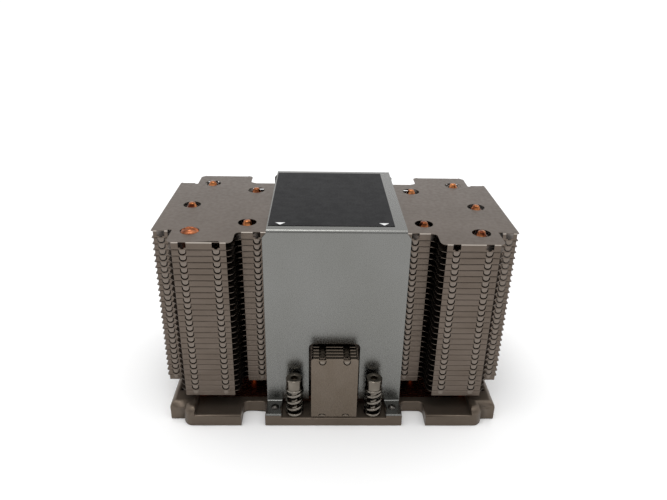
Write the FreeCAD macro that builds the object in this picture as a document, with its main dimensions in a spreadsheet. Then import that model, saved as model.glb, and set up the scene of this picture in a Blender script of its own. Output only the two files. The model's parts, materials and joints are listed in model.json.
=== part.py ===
import FreeCAD, Part
import math
import os

import Sketcher

# Tower heatsink of a server GPU module: a vapour chamber in a plated frame, riser tubes, a stack of
# folded fins, a bent cover over the middle, a small pack of upright fins and four spring screws.
# Millimetres, +Z up, front towards -Y, origin at the middle of the contact face.

# Driving dimensions; a name that ends in _x or _y is a distance from the middle plane.
SIZES = {
    # Fins
    "fin_length": 158.0,
    "fin_strip_depth": 63.0,
    "fin_block_depth": 86.6,
    "fin_recess_depth": 64.4,
    "fin_block_outer_x": 70.1,
    "fin_block_inner_x": 43.0,
    "fin_block_chamfer": 2.85,
    "fin_corner_radius": 2.5,
    "fin_sheet": 0.3,
    "fin_pitch": 2.85,
    "fin_count": 27,
    "fin_stack_lift": 6.35,
    "top_fin_rise": 0.5,
    "fin_seam": 0.08,
    # Lock windows in the folded edges of the top fin
    "lock_width": 3.2,
    "lock_bite": 0.6,
    "block_lock_outer_x": 63.4,
    "block_lock_inner_x": 49.6,
    "strip_lock_x": 74.8,
    "recess_lock_x": 34.0,
    # Riser tubes
    "tube_diameter": 8.0,
    "tube_clearance": 0.1,
    "tube_rise": 0.7,
    "tube_tip_length": 3.0,
    "tube_tip_diameter": 3.6,
    "outer_tube_x": 62.5,
    "outer_tube_y": 31.0,
    "inner_tube_x": 39.1,
    "inner_tube_y": 21.2,
    "side_tube_x": 67.3,
    # Vapour chamber and frame
    "chamber_margin": 0.9,
    "fit_clearance": 0.05,
    "base_thickness": 5.8,
    "rail_width": 3.3,
    "rail_height": 9.3,
    "ear_width": 12.15,
    "ear_bar_width": 9.2,
    "centre_tab_width": 63.0,
    "notch_width": 10.9,
    "notch_depth": 10.1,
    "notch_radius": 2.5,
    "outer_tab_width": 26.6,
    "tab_corner_radius": 4.4,
    "tab_margin": 4.7,
    "tab_recess": 1.4,
    # Bent cover
    "cover_sheet": 1.0,
    "cover_width": 62.2,
    "cover_top_width": 58.8,
    "cover_shoulder": 2.0,
    "cover_rise": 3.5,
    "cover_standoff": 6.8,
    "cover_bend_radius": 0.6,
    "cover_window_width": 23.0,
    "cover_window_head": 1.85,
    "cover_window_radius": 2.0,
    "cover_skirt_gap": 1.8,
    "foot_inner_x": 24.0,
    "foot_relief_diameter": 13.0,
    "label_left_x": 28.8,
    "label_width": 53.2,
    "label_setback": 4.5,
    "label_thickness": 0.2,
    # Screws in the feet
    "foot_screw_x": 27.2,
    "foot_screw_inset": 5.0,
    "foot_screw_diameter": 2.0,
    "foot_screw_length": 4.0,
    "foot_screw_head_diameter": 3.8,
    "foot_screw_head_height": 1.2,
    "foot_screw_clearance": 0.15,
    # Front fin pack
    "front_fin_width": 20.8,
    "front_fin_height": 32.15,
    "front_fin_pitch": 2.35,
    "front_fin_count": 5,
    "front_fin_setback": 0.7,
    # Captive screws
    "screw_x": 18.1,
    "screw_standoff": 5.2,
    "screw_head_diameter": 7.2,
    "screw_head_height": 5.2,
    "screw_head_chamfer": 0.5,
    "screw_socket_width": 3.0,
    "screw_socket_depth": 2.2,
    "screw_shank_diameter": 4.0,
    "screw_shank_clearance": 0.35,
    "screw_pin_diameter": 3.0,
    "screw_tip_height": 0.4,
    "spring_length": 14.4,
    "spring_diameter": 7.8,
    "spring_wire": 1.1,
    "spring_turns": 5,
    "ring_diameter": 6.4,
    "ring_thickness": 0.8,
    "ring_fit": 0.05,
    "ring_pocket_diameter": 7.2,
    "ring_pocket_depth": 2.0,
}
# Round pieces that repeat have a fixed number of flats, so that the faces stay few.
TUBE_FLATS = 12
HEAD_FLATS = 12
HIDDEN_FLATS = 8
SOCKET_FLATS = 6
SPRING_STEPS_PER_TURN = 6
ENDS = {"front": -1, "back": 1}
SIDES = {"left": -1, "right": 1}

doc = FreeCAD.newDocument("gpu_heatsink")
sheet = doc.addObject("Spreadsheet::Sheet", "Sizes")
for row, (alias, number) in enumerate(SIZES.items(), start=1):
    sheet.set(f"A{row}", str(number))
    sheet.setAlias(f"A{row}", alias)
doc.recompute()

# Places that follow from the driving dimensions, as expressions of the sheet
FIN_X = "Sizes.fin_length / 2"
STRIP_Y = "Sizes.fin_strip_depth / 2"
BLOCK_Y = "Sizes.fin_block_depth / 2"
RECESS_Y = "Sizes.fin_recess_depth / 2"
BLOCK_X = "Sizes.fin_block_outer_x"
RECESS_X = "Sizes.fin_block_inner_x"
FACE_X = "(Sizes.fin_block_outer_x - Sizes.fin_block_chamfer)"
FIN_BOTTOM = "(Sizes.base_thickness + Sizes.fin_stack_lift)"
TOP_FIN_HEIGHT = "(Sizes.fin_pitch + Sizes.top_fin_rise)"
FIN_TOP = f"({FIN_BOTTOM} + (Sizes.fin_count - 1) * Sizes.fin_pitch + {TOP_FIN_HEIGHT})"
TUBE_HOLE = "(Sizes.tube_diameter + 2 * Sizes.tube_clearance)"
CHAMBER_X = "(Sizes.side_tube_x + Sizes.tube_diameter / 2 + Sizes.chamber_margin)"
CHAMBER_Y = "(Sizes.outer_tube_y + Sizes.tube_diameter / 2 + Sizes.chamber_margin)"
WINDOW_X = f"({CHAMBER_X} + Sizes.fit_clearance)"
WINDOW_Y = f"({CHAMBER_Y} + Sizes.fit_clearance)"
BASE_X = f"({WINDOW_X} + Sizes.rail_width)"
EAR_X = f"({BASE_X} - Sizes.ear_width)"
EAR_Y = f"({WINDOW_Y} + Sizes.ear_bar_width)"
TAB_X = "Sizes.centre_tab_width / 2"
NOTCH_X = f"({TAB_X} + Sizes.notch_width)"
OUTER_TAB_X = f"({NOTCH_X} + Sizes.outer_tab_width)"
FLAP_Y = f"({RECESS_Y} + Sizes.cover_standoff + Sizes.cover_sheet)"
FLAP_INNER_Y = f"({RECESS_Y} + Sizes.cover_standoff)"
COVER_TOP = f"({FIN_TOP} + Sizes.cover_rise + Sizes.cover_sheet)"
COVER_BLANK_X = "(max(Sizes.cover_width; Sizes.cover_top_width) / 2 + Sizes.cover_sheet)"
SCREW_Y = f"({FLAP_Y} + Sizes.screw_standoff)"
BASE_Y = f"({SCREW_Y} + Sizes.tab_margin)"
NOTCH_Y = f"({BASE_Y} - Sizes.notch_depth)"
FOOT_TOP = "(Sizes.base_thickness + Sizes.cover_sheet)"
FOOT_SCREW_Y = f"({BASE_Y} - Sizes.foot_screw_inset)"
FOOT_SCREW_HOLE = "(Sizes.foot_screw_diameter + 2 * Sizes.foot_screw_clearance)"
RECESS_FLOOR = "(Sizes.base_thickness - Sizes.tab_recess)"
PACK_FOOT = f"({RECESS_FLOOR} + Sizes.fit_clearance)"
PACK_TOP = f"({PACK_FOOT} + Sizes.front_fin_height)"
SCREW_SEAT = f"({RECESS_FLOOR} + Sizes.spring_length)"
SCREW_TOP = f"({SCREW_SEAT} + Sizes.screw_head_height)"
SCREW_HOLE = "(Sizes.screw_shank_diameter + 2 * Sizes.screw_shank_clearance)"
RING_TOP = "(Sizes.ring_pocket_depth - Sizes.fit_clearance)"


def size(expression):
    """Value of an expression of the sheet, in millimetres."""
    return float(sheet.evalExpression(expression))


def signed(sign, expression):
    """The expression with a sign in front."""
    return f"{sign} * ({expression})"


def start_body(name):
    body = doc.addObject("PartDesign::Body", name)
    body.Label = name
    return body


def add_sketch(body, name, role, offset="0"):
    """Sketch on one of the body's own planes, moved along the plane's normal by offset."""
    sketch = body.newObject("Sketcher::SketchObject", f"{body.Name}_{name}")
    plane = next(feature for feature in body.Origin.OriginFeatures if feature.Role == role)
    sketch.AttachmentSupport = [(plane, "")]
    sketch.MapMode = "FlatFace"
    sketch.setExpression("AttachmentOffset.Base.z", offset)
    return sketch


def pin_point(sketch, geometry, vertex, place, point):
    """Fix a sketch vertex to its place, a pair of expressions measured from the origin."""
    distances = [
        Sketcher.Constraint("DistanceX", -1, 1, geometry, vertex, point.x),
        Sketcher.Constraint("DistanceY", -1, 1, geometry, vertex, point.y),
    ]
    for index, expression in zip(sketch.addConstraint(distances), place):
        sketch.setExpression(f"Constraints[{index}]", expression)


def draw_polygon(sketch, corners):
    """Closed polygon through corners, each a pair of expressions."""
    first = sketch.GeometryCount
    count = len(corners)
    points = [FreeCAD.Vector(size(x), size(y), 0) for x, y in corners]
    sketch.addGeometry([Part.LineSegment(points[i], points[(i + 1) % count]) for i in range(count)], False)
    sketch.addConstraint([
        Sketcher.Constraint("Coincident", first + i, 2, first + (i + 1) % count, 1) for i in range(count)
    ])
    for i in range(count):
        pin_point(sketch, first + i, 1, corners[i], points[i])


def draw_box(sketch, low_x, high_x, low_y, high_y):
    draw_polygon(sketch, [(low_x, low_y), (high_x, low_y), (high_x, high_y), (low_x, high_y)])


def add_pad(body, sketch, length, reverse=False, side_type="One side"):
    pad = body.newObject("PartDesign::Pad", f"{sketch.Name}_pad")
    pad.Profile = sketch
    pad.SideType = side_type
    pad.setExpression("Length", length)
    pad.Reversed = reverse
    doc.recompute()
    return pad


def add_pocket(body, sketch, depth=None, reverse=False):
    """Pocket of a given depth, or right through both ways, that has to take material away."""
    volume = body.Shape.Volume
    pocket = body.newObject("PartDesign::Pocket", f"{sketch.Name}_pocket")
    pocket.Profile = sketch
    if depth is None:
        pocket.Type = "ThroughAll"
        pocket.SideType = "Symmetric"
    else:
        pocket.setExpression("Length", depth)
        pocket.Reversed = reverse
    doc.recompute()
    if body.Shape.Volume > volume - 1e-6:
        raise RuntimeError(f"{pocket.Name} cuts nothing")
    return pocket


def add_round(body, name, x, y, low, height, diameter, flats, hole=False):
    """Upright round bar or hole with flats: a bar's corners lie on its circle, a hole's flats touch it."""
    kind = "PartDesign::SubtractivePrism" if hole else "PartDesign::AdditivePrism"
    spread = 2 * math.cos(math.pi / flats) if hole else 2
    prism = body.newObject(kind, f"{body.Name}_{name}")
    plane = next(feature for feature in body.Origin.OriginFeatures if feature.Role == "XY_Plane")
    prism.AttachmentSupport = [(plane, "")]
    prism.MapMode = "FlatFace"
    prism.Polygon = flats
    prism.Refine = False
    prism.setExpression("Circumradius", f"({diameter}) / {spread:.9f}")
    prism.setExpression("Height", height)
    for axis, expression in zip("xyz", (x, y, low)):
        prism.setExpression(f"AttachmentOffset.Base.{axis}", expression)
    doc.recompute()
    return prism


def add_chamfer(body, height, across, along):
    """Bevel the edges of the face at a height: across is taken off the face, along off the sides."""
    names = [
        f"Edge{number}"
        for number, edge in enumerate(body.Shape.Edges, start=1)
        if all(abs(vertex.Z - size(height)) < 1e-4 for vertex in edge.Vertexes)
    ]
    base = body.Tip
    bevel = body.newObject("PartDesign::Chamfer", f"{body.Name}_bevel")
    bevel.Base = (base, names)
    bevel.ChamferType = "Two distances"
    bevel.setExpression("Size", across)
    bevel.setExpression("Size2", along)
    doc.recompute()
    return bevel


def add_fillet(body, name, axis, places, radius):
    """Round the straight edges along an axis that pass through places, pairs of expressions."""
    across = [i for i in range(3) if i != axis]
    targets = [(size(u), size(v)) for u, v in places]
    names = []
    for number, edge in enumerate(body.Shape.Edges, start=1):
        ends = [vertex.Point for vertex in edge.Vertexes]
        if len(ends) != 2 or any(abs(ends[0][i] - ends[1][i]) > 1e-4 for i in across):
            continue
        if any(math.dist((ends[0][across[0]], ends[0][across[1]]), target) < 1e-3 for target in targets):
            names.append(f"Edge{number}")
    base = body.Tip
    fillet = body.newObject("PartDesign::Fillet", f"{body.Name}_{name}")
    fillet.Base = (base, names)
    fillet.setExpression("Radius", radius)
    doc.recompute()
    return fillet


def place(sub_part, x="0", y="0", z="0"):
    for axis, expression in zip("xyz", (x, y, z)):
        sub_part.setExpression(f"Placement.Base.{axis}", expression)


def repeat(master, name, x="0", y="0", z="0"):
    """Another copy of a sub-part, at its own place."""
    copy = doc.addObject("App::Link", name)
    copy.LinkedObject = master
    copy.Label = name
    place(copy, x, y, z)
    return copy


def four_ways(x, y):
    """A place and its mirror images in the two middle planes, with their names."""
    return [
        (f"{side}_{end}", signed(across, x), signed(along, y))
        for side, across in SIDES.items()
        for end, along in ENDS.items()
    ]


def mirrored_outline(quadrant):
    """Closed outline from its first quadrant, given from the X axis towards the Y axis."""
    outline = []
    for step, (across, along) in enumerate([(1, 1), (-1, 1), (-1, -1), (1, -1)]):
        corners = quadrant if step % 2 == 0 else quadrant[::-1]
        outline += [(signed(across, x), signed(along, y)) for x, y in corners]
    return outline


TUBES = {
    f"{group}_tube_{name}": (x, y)
    for group in ("outer", "inner")
    for name, x, y in four_ways(f"Sizes.{group}_tube_x", f"Sizes.{group}_tube_y")
}
for side_name, side_sign in SIDES.items():
    TUBES[f"side_tube_{side_name}"] = (signed(side_sign, "Sizes.side_tube_x"), "0")

FIN_QUADRANT = [
    (FIN_X, STRIP_Y),
    (BLOCK_X, STRIP_Y),
    (BLOCK_X, f"{BLOCK_Y} - Sizes.fin_block_chamfer"),
    (FACE_X, BLOCK_Y),
    (RECESS_X, BLOCK_Y),
    (RECESS_X, RECESS_Y),
]


def add_fin_plate(body, height):
    """Flat of the fin: the stepped outline, one sheet thick, at the top of the fin's own height."""
    outline = add_sketch(body, "outline", "XY_Plane", f"{height} - Sizes.fin_sheet")
    draw_polygon(outline, mirrored_outline(FIN_QUADRANT))
    add_pad(body, outline, "Sizes.fin_sheet")


def add_fin_folds(body, height, inset):
    """Front and back edges folded down to the next fin; inset frees the ends at the recess corners."""
    folds = add_sketch(body, "folds", "XY_Plane", "Sizes.fin_seam")
    for along in ENDS.values():
        faces = [(f"-1 * {RECESS_X} + {inset}", f"{RECESS_X} - {inset}", RECESS_Y)]
        for across in SIDES.values():
            faces.append((signed(across, f"{RECESS_X} + {inset}"), signed(across, FACE_X), BLOCK_Y))
            faces.append((signed(across, BLOCK_X), signed(across, FIN_X), STRIP_Y))
        for start, stop, edge in faces:
            draw_box(folds, start, stop, signed(along, f"{edge} - Sizes.fin_sheet"), signed(along, edge))
    add_pad(body, folds, f"{height} - Sizes.fin_seam")


def make_stack_fin(name):
    """Fin of the stack; the tube holes, hidden between fins, are square to keep the faces few."""
    body = start_body(name)
    add_fin_plate(body, "Sizes.fin_pitch")
    add_fin_folds(body, "Sizes.fin_pitch", "0")
    holes = add_sketch(body, "holes", "XY_Plane")
    half = f"{TUBE_HOLE} / 2"
    for x, y in TUBES.values():
        draw_box(holes, f"{x} - {half}", f"{x} + {half}", f"{y} - {half}", f"{y} + {half}")
    add_pocket(body, holes)
    return body


def make_top_fin(name):
    """Top fin, open to view and a little taller: round tube holes, rounded corners, open lock windows."""
    body = start_body(name)
    add_fin_plate(body, TOP_FIN_HEIGHT)
    corners = [(x, y) for _, x, y in four_ways(RECESS_X, BLOCK_Y)]
    corners += [(x, y) for _, x, y in four_ways(RECESS_X, RECESS_Y)]
    add_fillet(body, "corners", 2, corners, "Sizes.fin_corner_radius")
    add_fin_folds(body, TOP_FIN_HEIGHT, "Sizes.fin_corner_radius")
    for tube, (x, y) in TUBES.items():
        add_round(body, f"{tube}_hole", x, y, "0", TOP_FIN_HEIGHT, TUBE_HOLE, TUBE_FLATS, hole=True)
    windows = add_sketch(body, "windows", "XY_Plane")
    locks = [
        ("Sizes.block_lock_outer_x", BLOCK_Y),
        ("Sizes.block_lock_inner_x", BLOCK_Y),
        ("Sizes.strip_lock_x", STRIP_Y),
        ("Sizes.recess_lock_x", RECESS_Y),
    ]
    for lock_x, edge in locks:
        for across in SIDES.values():
            for along in ENDS.values():
                middle = signed(across, lock_x)
                draw_box(
                    windows,
                    f"{middle} - Sizes.lock_width / 2",
                    f"{middle} + Sizes.lock_width / 2",
                    signed(along, f"{edge} - Sizes.lock_bite"),
                    signed(along, f"{edge} + Sizes.fin_sheet"),
                )
    add_pocket(body, windows)
    return body


def make_fins():
    """Stack of fins, each one pitch high apart from the top one, counted from the bottom."""
    count = int(size("Sizes.fin_count"))
    names = [f"fin_{number:02d}" for number in range(1, count + 1)]
    master = make_stack_fin(names[0])
    place(master, z=FIN_BOTTOM)
    fins = [master]
    for level, name in enumerate(names[1:-1], start=1):
        fins.append(repeat(master, name, z=f"{FIN_BOTTOM} + {level} * Sizes.fin_pitch"))
    top = make_top_fin(names[-1])
    place(top, z=f"{FIN_TOP} - {TOP_FIN_HEIGHT}")
    fins.append(top)
    return fins


def make_tubes():
    """Riser tubes that stand on the chamber, drawn in to a closed tip just above the top fin."""
    names = list(TUBES)
    body = start_body(names[0])
    length = f"({FIN_TOP} + Sizes.tube_rise - Sizes.base_thickness)"
    add_round(body, "bar", "0", "0", "0", length, "Sizes.tube_diameter", TUBE_FLATS)
    add_chamfer(body, length, "(Sizes.tube_diameter - Sizes.tube_tip_diameter) / 2", "Sizes.tube_tip_length")
    place(body, *TUBES[names[0]], "Sizes.base_thickness")
    return [body] + [repeat(body, name, *TUBES[name], "Sizes.base_thickness") for name in names[1:]]


def make_vapor_chamber():
    """Sealed chamber, flush with the frame above and below; its underside is the contact face."""
    body = start_body("vapor_chamber")
    outline = add_sketch(body, "outline", "XY_Plane")
    draw_box(outline, f"-1 * {CHAMBER_X}", CHAMBER_X, f"-1 * {CHAMBER_Y}", CHAMBER_Y)
    add_pad(body, outline, "Sizes.base_thickness")
    return [body]


def make_base_frame():
    """Plated frame: three tabs front and back, the middle ones recessed, raised ends, chamber window."""
    body = start_body("base_frame")
    outline = add_sketch(body, "outline", "XY_Plane")
    draw_polygon(outline, mirrored_outline([
        (BASE_X, EAR_Y),
        (OUTER_TAB_X, EAR_Y),
        (OUTER_TAB_X, BASE_Y),
        (NOTCH_X, BASE_Y),
        (NOTCH_X, NOTCH_Y),
        (TAB_X, NOTCH_Y),
        (TAB_X, BASE_Y),
    ]))
    add_pad(body, outline, "Sizes.base_thickness")
    ends = add_sketch(body, "ends", "XY_Plane")
    for across in SIDES.values():
        half = [
            (BASE_X, EAR_Y),
            (OUTER_TAB_X, EAR_Y),
            (OUTER_TAB_X, BASE_Y),
            (EAR_X, BASE_Y),
            (EAR_X, WINDOW_Y),
            (WINDOW_X, WINDOW_Y),
        ]
        upper = [(signed(across, x), y) for x, y in half]
        lower = [(signed(across, x), signed(-1, y)) for x, y in half[::-1]]
        draw_polygon(ends, upper + lower)
    add_pad(body, ends, "Sizes.rail_height")
    tab_corners = [(x, y) for _, x, y in four_ways(OUTER_TAB_X, BASE_Y)]
    add_fillet(body, "tab_corners", 2, tab_corners, "Sizes.tab_corner_radius")
    notch_corners = [(x, y) for inner in (NOTCH_X, TAB_X) for _, x, y in four_ways(inner, NOTCH_Y)]
    add_fillet(body, "notch_corners", 2, notch_corners, "Sizes.notch_radius")

    recess = add_sketch(body, "recess", "XY_Plane", RECESS_FLOOR)
    recess_x = "Sizes.foot_inner_x"
    draw_box(recess, f"-1 * {recess_x}", recess_x, f"-1 * {BASE_Y}", BASE_Y)
    add_pocket(body, recess, "Sizes.tab_recess", reverse=True)
    window = add_sketch(body, "window", "XY_Plane")
    draw_box(window, f"-1 * {WINDOW_X}", WINDOW_X, f"-1 * {WINDOW_Y}", WINDOW_Y)
    add_pocket(body, window)
    for name, x, y in four_ways("Sizes.screw_x", SCREW_Y):
        hole_size = ("Sizes.base_thickness", SCREW_HOLE)
        add_round(body, f"screw_hole_{name}", x, y, "0", *hole_size, HIDDEN_FLATS, hole=True)
        pocket_size = ("Sizes.ring_pocket_depth", "Sizes.ring_pocket_diameter")
        add_round(body, f"ring_pocket_{name}", x, y, "0", *pocket_size, HIDDEN_FLATS, hole=True)
    for name, x, y in four_ways("Sizes.foot_screw_x", FOOT_SCREW_Y):
        hole_size = ("Sizes.base_thickness", FOOT_SCREW_HOLE)
        add_round(body, f"foot_hole_{name}", x, y, "0", *hole_size, HIDDEN_FLATS, hole=True)
    return [body]


def make_bridge_cover():
    """One bent sheet, trimmed to its sides: a top, two flaps, four feet and a window for the fin pack."""
    body = start_body("bridge_cover")
    profile = add_sketch(body, "profile", "YZ_Plane")
    foot_bottom = "Sizes.base_thickness"
    ceiling = f"({COVER_TOP} - Sizes.cover_sheet)"
    outer = [(BASE_Y, FOOT_TOP), (FLAP_Y, FOOT_TOP), (FLAP_Y, COVER_TOP)]
    inner = [(FLAP_INNER_Y, ceiling), (FLAP_INNER_Y, foot_bottom), (BASE_Y, foot_bottom)]
    draw_polygon(
        profile,
        outer
        + [(signed(-1, y), z) for y, z in outer[::-1]]
        + [(signed(-1, y), z) for y, z in inner[::-1]]
        + inner,
    )
    add_pad(body, profile, f"2 * {COVER_BLANK_X}", side_type="Symmetric")
    for name, corner, radius in (
        ("top_outside", (FLAP_Y, COVER_TOP), "Sizes.cover_bend_radius + Sizes.cover_sheet"),
        ("top_inside", (FLAP_INNER_Y, ceiling), "Sizes.cover_bend_radius"),
        ("foot_outside", (FLAP_INNER_Y, foot_bottom), "Sizes.cover_bend_radius + Sizes.cover_sheet"),
        ("foot_inside", (FLAP_Y, FOOT_TOP), "Sizes.cover_bend_radius"),
    ):
        both = [(signed(along, corner[0]), corner[1]) for along in ENDS.values()]
        add_fillet(body, name, 0, both, radius)

    trim = add_sketch(body, "trim", "XZ_Plane")
    top_x = "Sizes.cover_top_width / 2"
    flap_x = "Sizes.cover_width / 2"
    bend_foot = f"({COVER_TOP} - Sizes.cover_bend_radius - Sizes.cover_sheet)"
    above, below = f"{COVER_TOP} + Sizes.cover_sheet", f"{foot_bottom} - Sizes.cover_sheet"
    for across in SIDES.values():
        draw_polygon(trim, [
            (signed(across, top_x), above),
            (signed(across, top_x), bend_foot),
            (signed(across, flap_x), f"{bend_foot} - Sizes.cover_shoulder"),
            (signed(across, flap_x), below),
            (signed(across, f"{COVER_BLANK_X} + Sizes.cover_sheet"), below),
            (signed(across, f"{COVER_BLANK_X} + Sizes.cover_sheet"), above),
        ])
    add_pocket(body, trim)
    skirt = add_sketch(body, "skirt", "XZ_Plane")
    skirt_top = f"{foot_bottom} + Sizes.cover_skirt_gap"
    skirt_x = "Sizes.foot_inner_x"
    draw_box(skirt, f"-1 * {skirt_x}", skirt_x, below, skirt_top)
    add_pocket(body, skirt)
    window = add_sketch(body, "window", "XZ_Plane")
    window_x = "Sizes.cover_window_width / 2"
    window_top = f"({PACK_TOP} + Sizes.cover_window_head)"
    draw_box(window, f"-1 * {window_x}", window_x, foot_bottom, window_top)
    add_pocket(body, window, BASE_Y, reverse=True)
    window_corners = [(signed(across, window_x), window_top) for across in SIDES.values()]
    add_fillet(body, "window_corners", 1, window_corners, "Sizes.cover_window_radius")
    for name, x, y in four_ways("Sizes.screw_x", SCREW_Y):
        relief_size = ("Sizes.cover_sheet", "Sizes.foot_relief_diameter")
        add_round(body, f"relief_{name}", x, y, foot_bottom, *relief_size, TUBE_FLATS, hole=True)
    for name, x, y in four_ways("Sizes.foot_screw_x", FOOT_SCREW_Y):
        hole_size = ("Sizes.cover_sheet", FOOT_SCREW_HOLE)
        add_round(body, f"foot_hole_{name}", x, y, foot_bottom, *hole_size, HIDDEN_FLATS, hole=True)
    return [body]


def make_cover_label():
    """Plain strip stuck to the cover's top."""
    label = doc.addObject("Part::Box", "cover_label")
    label.Label = "cover_label"
    label.setExpression("Length", "Sizes.label_width")
    label.setExpression("Width", f"2 * ({FLAP_Y} - Sizes.label_setback)")
    label.setExpression("Height", "Sizes.label_thickness")
    place(label, "-1 * Sizes.label_left_x", f"-1 * ({FLAP_Y} - Sizes.label_setback)", COVER_TOP)
    return [label]


def make_foot_screws():
    """Small screws through the cover's feet, as one group."""
    body = start_body("foot_screw")
    head_size = ("Sizes.foot_screw_head_height", "Sizes.foot_screw_head_diameter")
    add_round(body, "head", "0", "0", "0", *head_size, HEAD_FLATS)
    shank_size = ("Sizes.foot_screw_length", "Sizes.foot_screw_diameter")
    add_round(body, "shank", "0", "0", "-1 * Sizes.foot_screw_length", *shank_size, HIDDEN_FLATS)
    places = four_ways("Sizes.foot_screw_x", FOOT_SCREW_Y)
    place(body, *places[0][1:], FOOT_TOP)
    copies = [repeat(body, f"foot_screw_{name}", x, y, FOOT_TOP) for name, x, y in places[1:]]
    group = doc.addObject("Part::Compound", "cover_foot_screws")
    group.Label = "cover_foot_screws"
    group.Links = [body] + copies
    return [group]


def make_front_fins():
    """Upright fins before the cover, folded back at the top and at the foot, counted from the front."""
    body = start_body("front_fin_1")
    half = "Sizes.front_fin_width / 2"
    height = "Sizes.front_fin_height"
    plate = add_sketch(body, "plate", "XZ_Plane")
    draw_box(plate, f"-1 * {half}", half, "0", height)
    add_pad(body, plate, "Sizes.fin_sheet", reverse=True)
    folds = add_sketch(body, "folds", "XZ_Plane")
    draw_box(folds, f"-1 * {half}", half, "0", "Sizes.fin_sheet")
    draw_box(folds, f"-1 * {half}", half, f"{height} - Sizes.fin_sheet", height)
    add_pad(body, folds, "Sizes.front_fin_pitch - Sizes.fin_seam", reverse=True)
    front = f"-1 * ({BASE_Y} - Sizes.front_fin_setback)"
    place(body, y=front, z=PACK_FOOT)
    count = int(size("Sizes.front_fin_count"))
    return [body] + [
        repeat(body, f"front_fin_{step + 1}", y=f"{front} + {step} * Sizes.front_fin_pitch", z=PACK_FOOT)
        for step in range(1, count)
    ]


def make_captive_screws():
    """Socket screws with a long shank and a thinner pin that carries the retaining ring."""
    places = four_ways("Sizes.screw_x", SCREW_Y)
    body = start_body(f"captive_screw_{places[0][0]}")
    head_size = ("Sizes.screw_head_height", "Sizes.screw_head_diameter")
    add_round(body, "head", "0", "0", SCREW_SEAT, *head_size, HEAD_FLATS)
    add_chamfer(body, SCREW_TOP, "Sizes.screw_head_chamfer", "Sizes.screw_head_chamfer")
    shank_size = (f"{SCREW_SEAT} - {RING_TOP}", "Sizes.screw_shank_diameter")
    add_round(body, "shank", "0", "0", RING_TOP, *shank_size, HIDDEN_FLATS)
    pin_size = (f"{RING_TOP} - Sizes.screw_tip_height", "Sizes.screw_pin_diameter")
    add_round(body, "pin", "0", "0", "Sizes.screw_tip_height", *pin_size, HIDDEN_FLATS)
    socket_low = f"{SCREW_TOP} - Sizes.screw_socket_depth"
    socket_size = ("Sizes.screw_socket_depth", "Sizes.screw_socket_width")
    add_round(body, "socket", "0", "0", socket_low, *socket_size, SOCKET_FLATS, hole=True)
    place(body, *places[0][1:])
    return [body] + [repeat(body, f"captive_screw_{name}", x, y) for name, x, y in places[1:]]


def make_retaining_rings():
    """Flat rings pressed on the pins, under the frame, so that the screws can't be lost."""
    places = four_ways("Sizes.screw_x", SCREW_Y)
    body = start_body(f"retaining_ring_{places[0][0]}")
    add_round(body, "disc", "0", "0", "0", "Sizes.ring_thickness", "Sizes.ring_diameter", HIDDEN_FLATS)
    bore = "Sizes.screw_pin_diameter + 2 * Sizes.ring_fit"
    add_round(body, "bore", "0", "0", "0", "Sizes.ring_thickness", bore, HIDDEN_FLATS, hole=True)
    height = f"{RING_TOP} - Sizes.ring_fit - Sizes.ring_thickness"
    place(body, *places[0][1:], height)
    return [body] + [repeat(body, f"retaining_ring_{name}", x, y, height) for name, x, y in places[1:]]


def spring_shape():
    """Compression spring: a square wire carried round a coil of straight steps, its end half turns flat.

    The wire's section stays upright and radial at every step, so the coil keeps its length and bore.
    """
    wire = size("Sizes.spring_wire")
    radius = (size("Sizes.spring_diameter") - wire) / 2
    rise = size("Sizes.spring_length - 2 * Sizes.fit_clearance") - wire
    steps = int(size("Sizes.spring_turns") * SPRING_STEPS_PER_TURN)
    flat_steps = SPRING_STEPS_PER_TURN // 2
    climbing_steps = steps - 2 * flat_steps
    sections = []
    for step in range(steps + 1):
        turn = 2 * math.pi * step / SPRING_STEPS_PER_TURN
        height = wire / 2 + rise * min(max(step - flat_steps, 0), climbing_steps) / climbing_steps
        outward = FreeCAD.Vector(math.cos(turn), math.sin(turn), 0)
        sections.append([
            outward * (radius + across * wire / 2) + FreeCAD.Vector(0, 0, height + up * wire / 2)
            for across, up in ((-1, -1), (1, -1), (1, 1), (-1, 1))
        ])
    outlines = [sections[0][::-1], sections[-1]]
    for near, far in zip(sections, sections[1:]):
        for i in range(4):
            j = (i + 1) % 4
            outlines += [[near[i], near[j], far[j]], [near[i], far[j], far[i]]]
    faces = [Part.Face(Part.makePolygon(outline + outline[:1])) for outline in outlines]
    return Part.Solid(Part.Shell(faces))


def make_springs():
    shape = spring_shape()
    springs = []
    for name, x, y in four_ways("Sizes.screw_x", SCREW_Y):
        spring = doc.addObject("Part::Feature", f"captive_spring_{name}")
        spring.Label = f"captive_spring_{name}"
        spring.Shape = shape
        place(spring, x, y, f"{RECESS_FLOOR} + Sizes.fit_clearance")
        springs.append(spring)
    return springs


sub_parts = (
    make_base_frame()
    + make_vapor_chamber()
    + make_tubes()
    + make_fins()
    + make_bridge_cover()
    + make_cover_label()
    + make_foot_screws()
    + make_front_fins()
    + make_captive_screws()
    + make_retaining_rings()
    + make_springs()
)
doc.recompute()

for item in doc.Objects:
    if "Invalid" in item.State or "Error" in item.State:
        raise RuntimeError(f"{item.Label} failed to build: {item.State}")
shapes = {sub_part.Label: Part.getShape(sub_part) for sub_part in sub_parts}
for label, shape in shapes.items():
    if shape.isNull() or not shape.isValid():
        raise RuntimeError(f"{label} has no valid shape")

os.makedirs("parts", exist_ok=True)
for label, shape in shapes.items():
    shape.exportStep(f"parts/{label}.step")
print(f"{len(shapes)} sub-parts written")
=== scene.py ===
"""Looks of a GPU heatsink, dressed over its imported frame.

Sizes are in millimetres in the frame's own axes: +X along the fins, -Y towards the front and +Z up. Surfaces
are turned into metres when they become meshes.
"""

import json
import logging
import math
from dataclasses import dataclass, field, replace
from enum import Enum
from functools import cache
from typing import Any, Callable, Optional, Sequence

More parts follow.
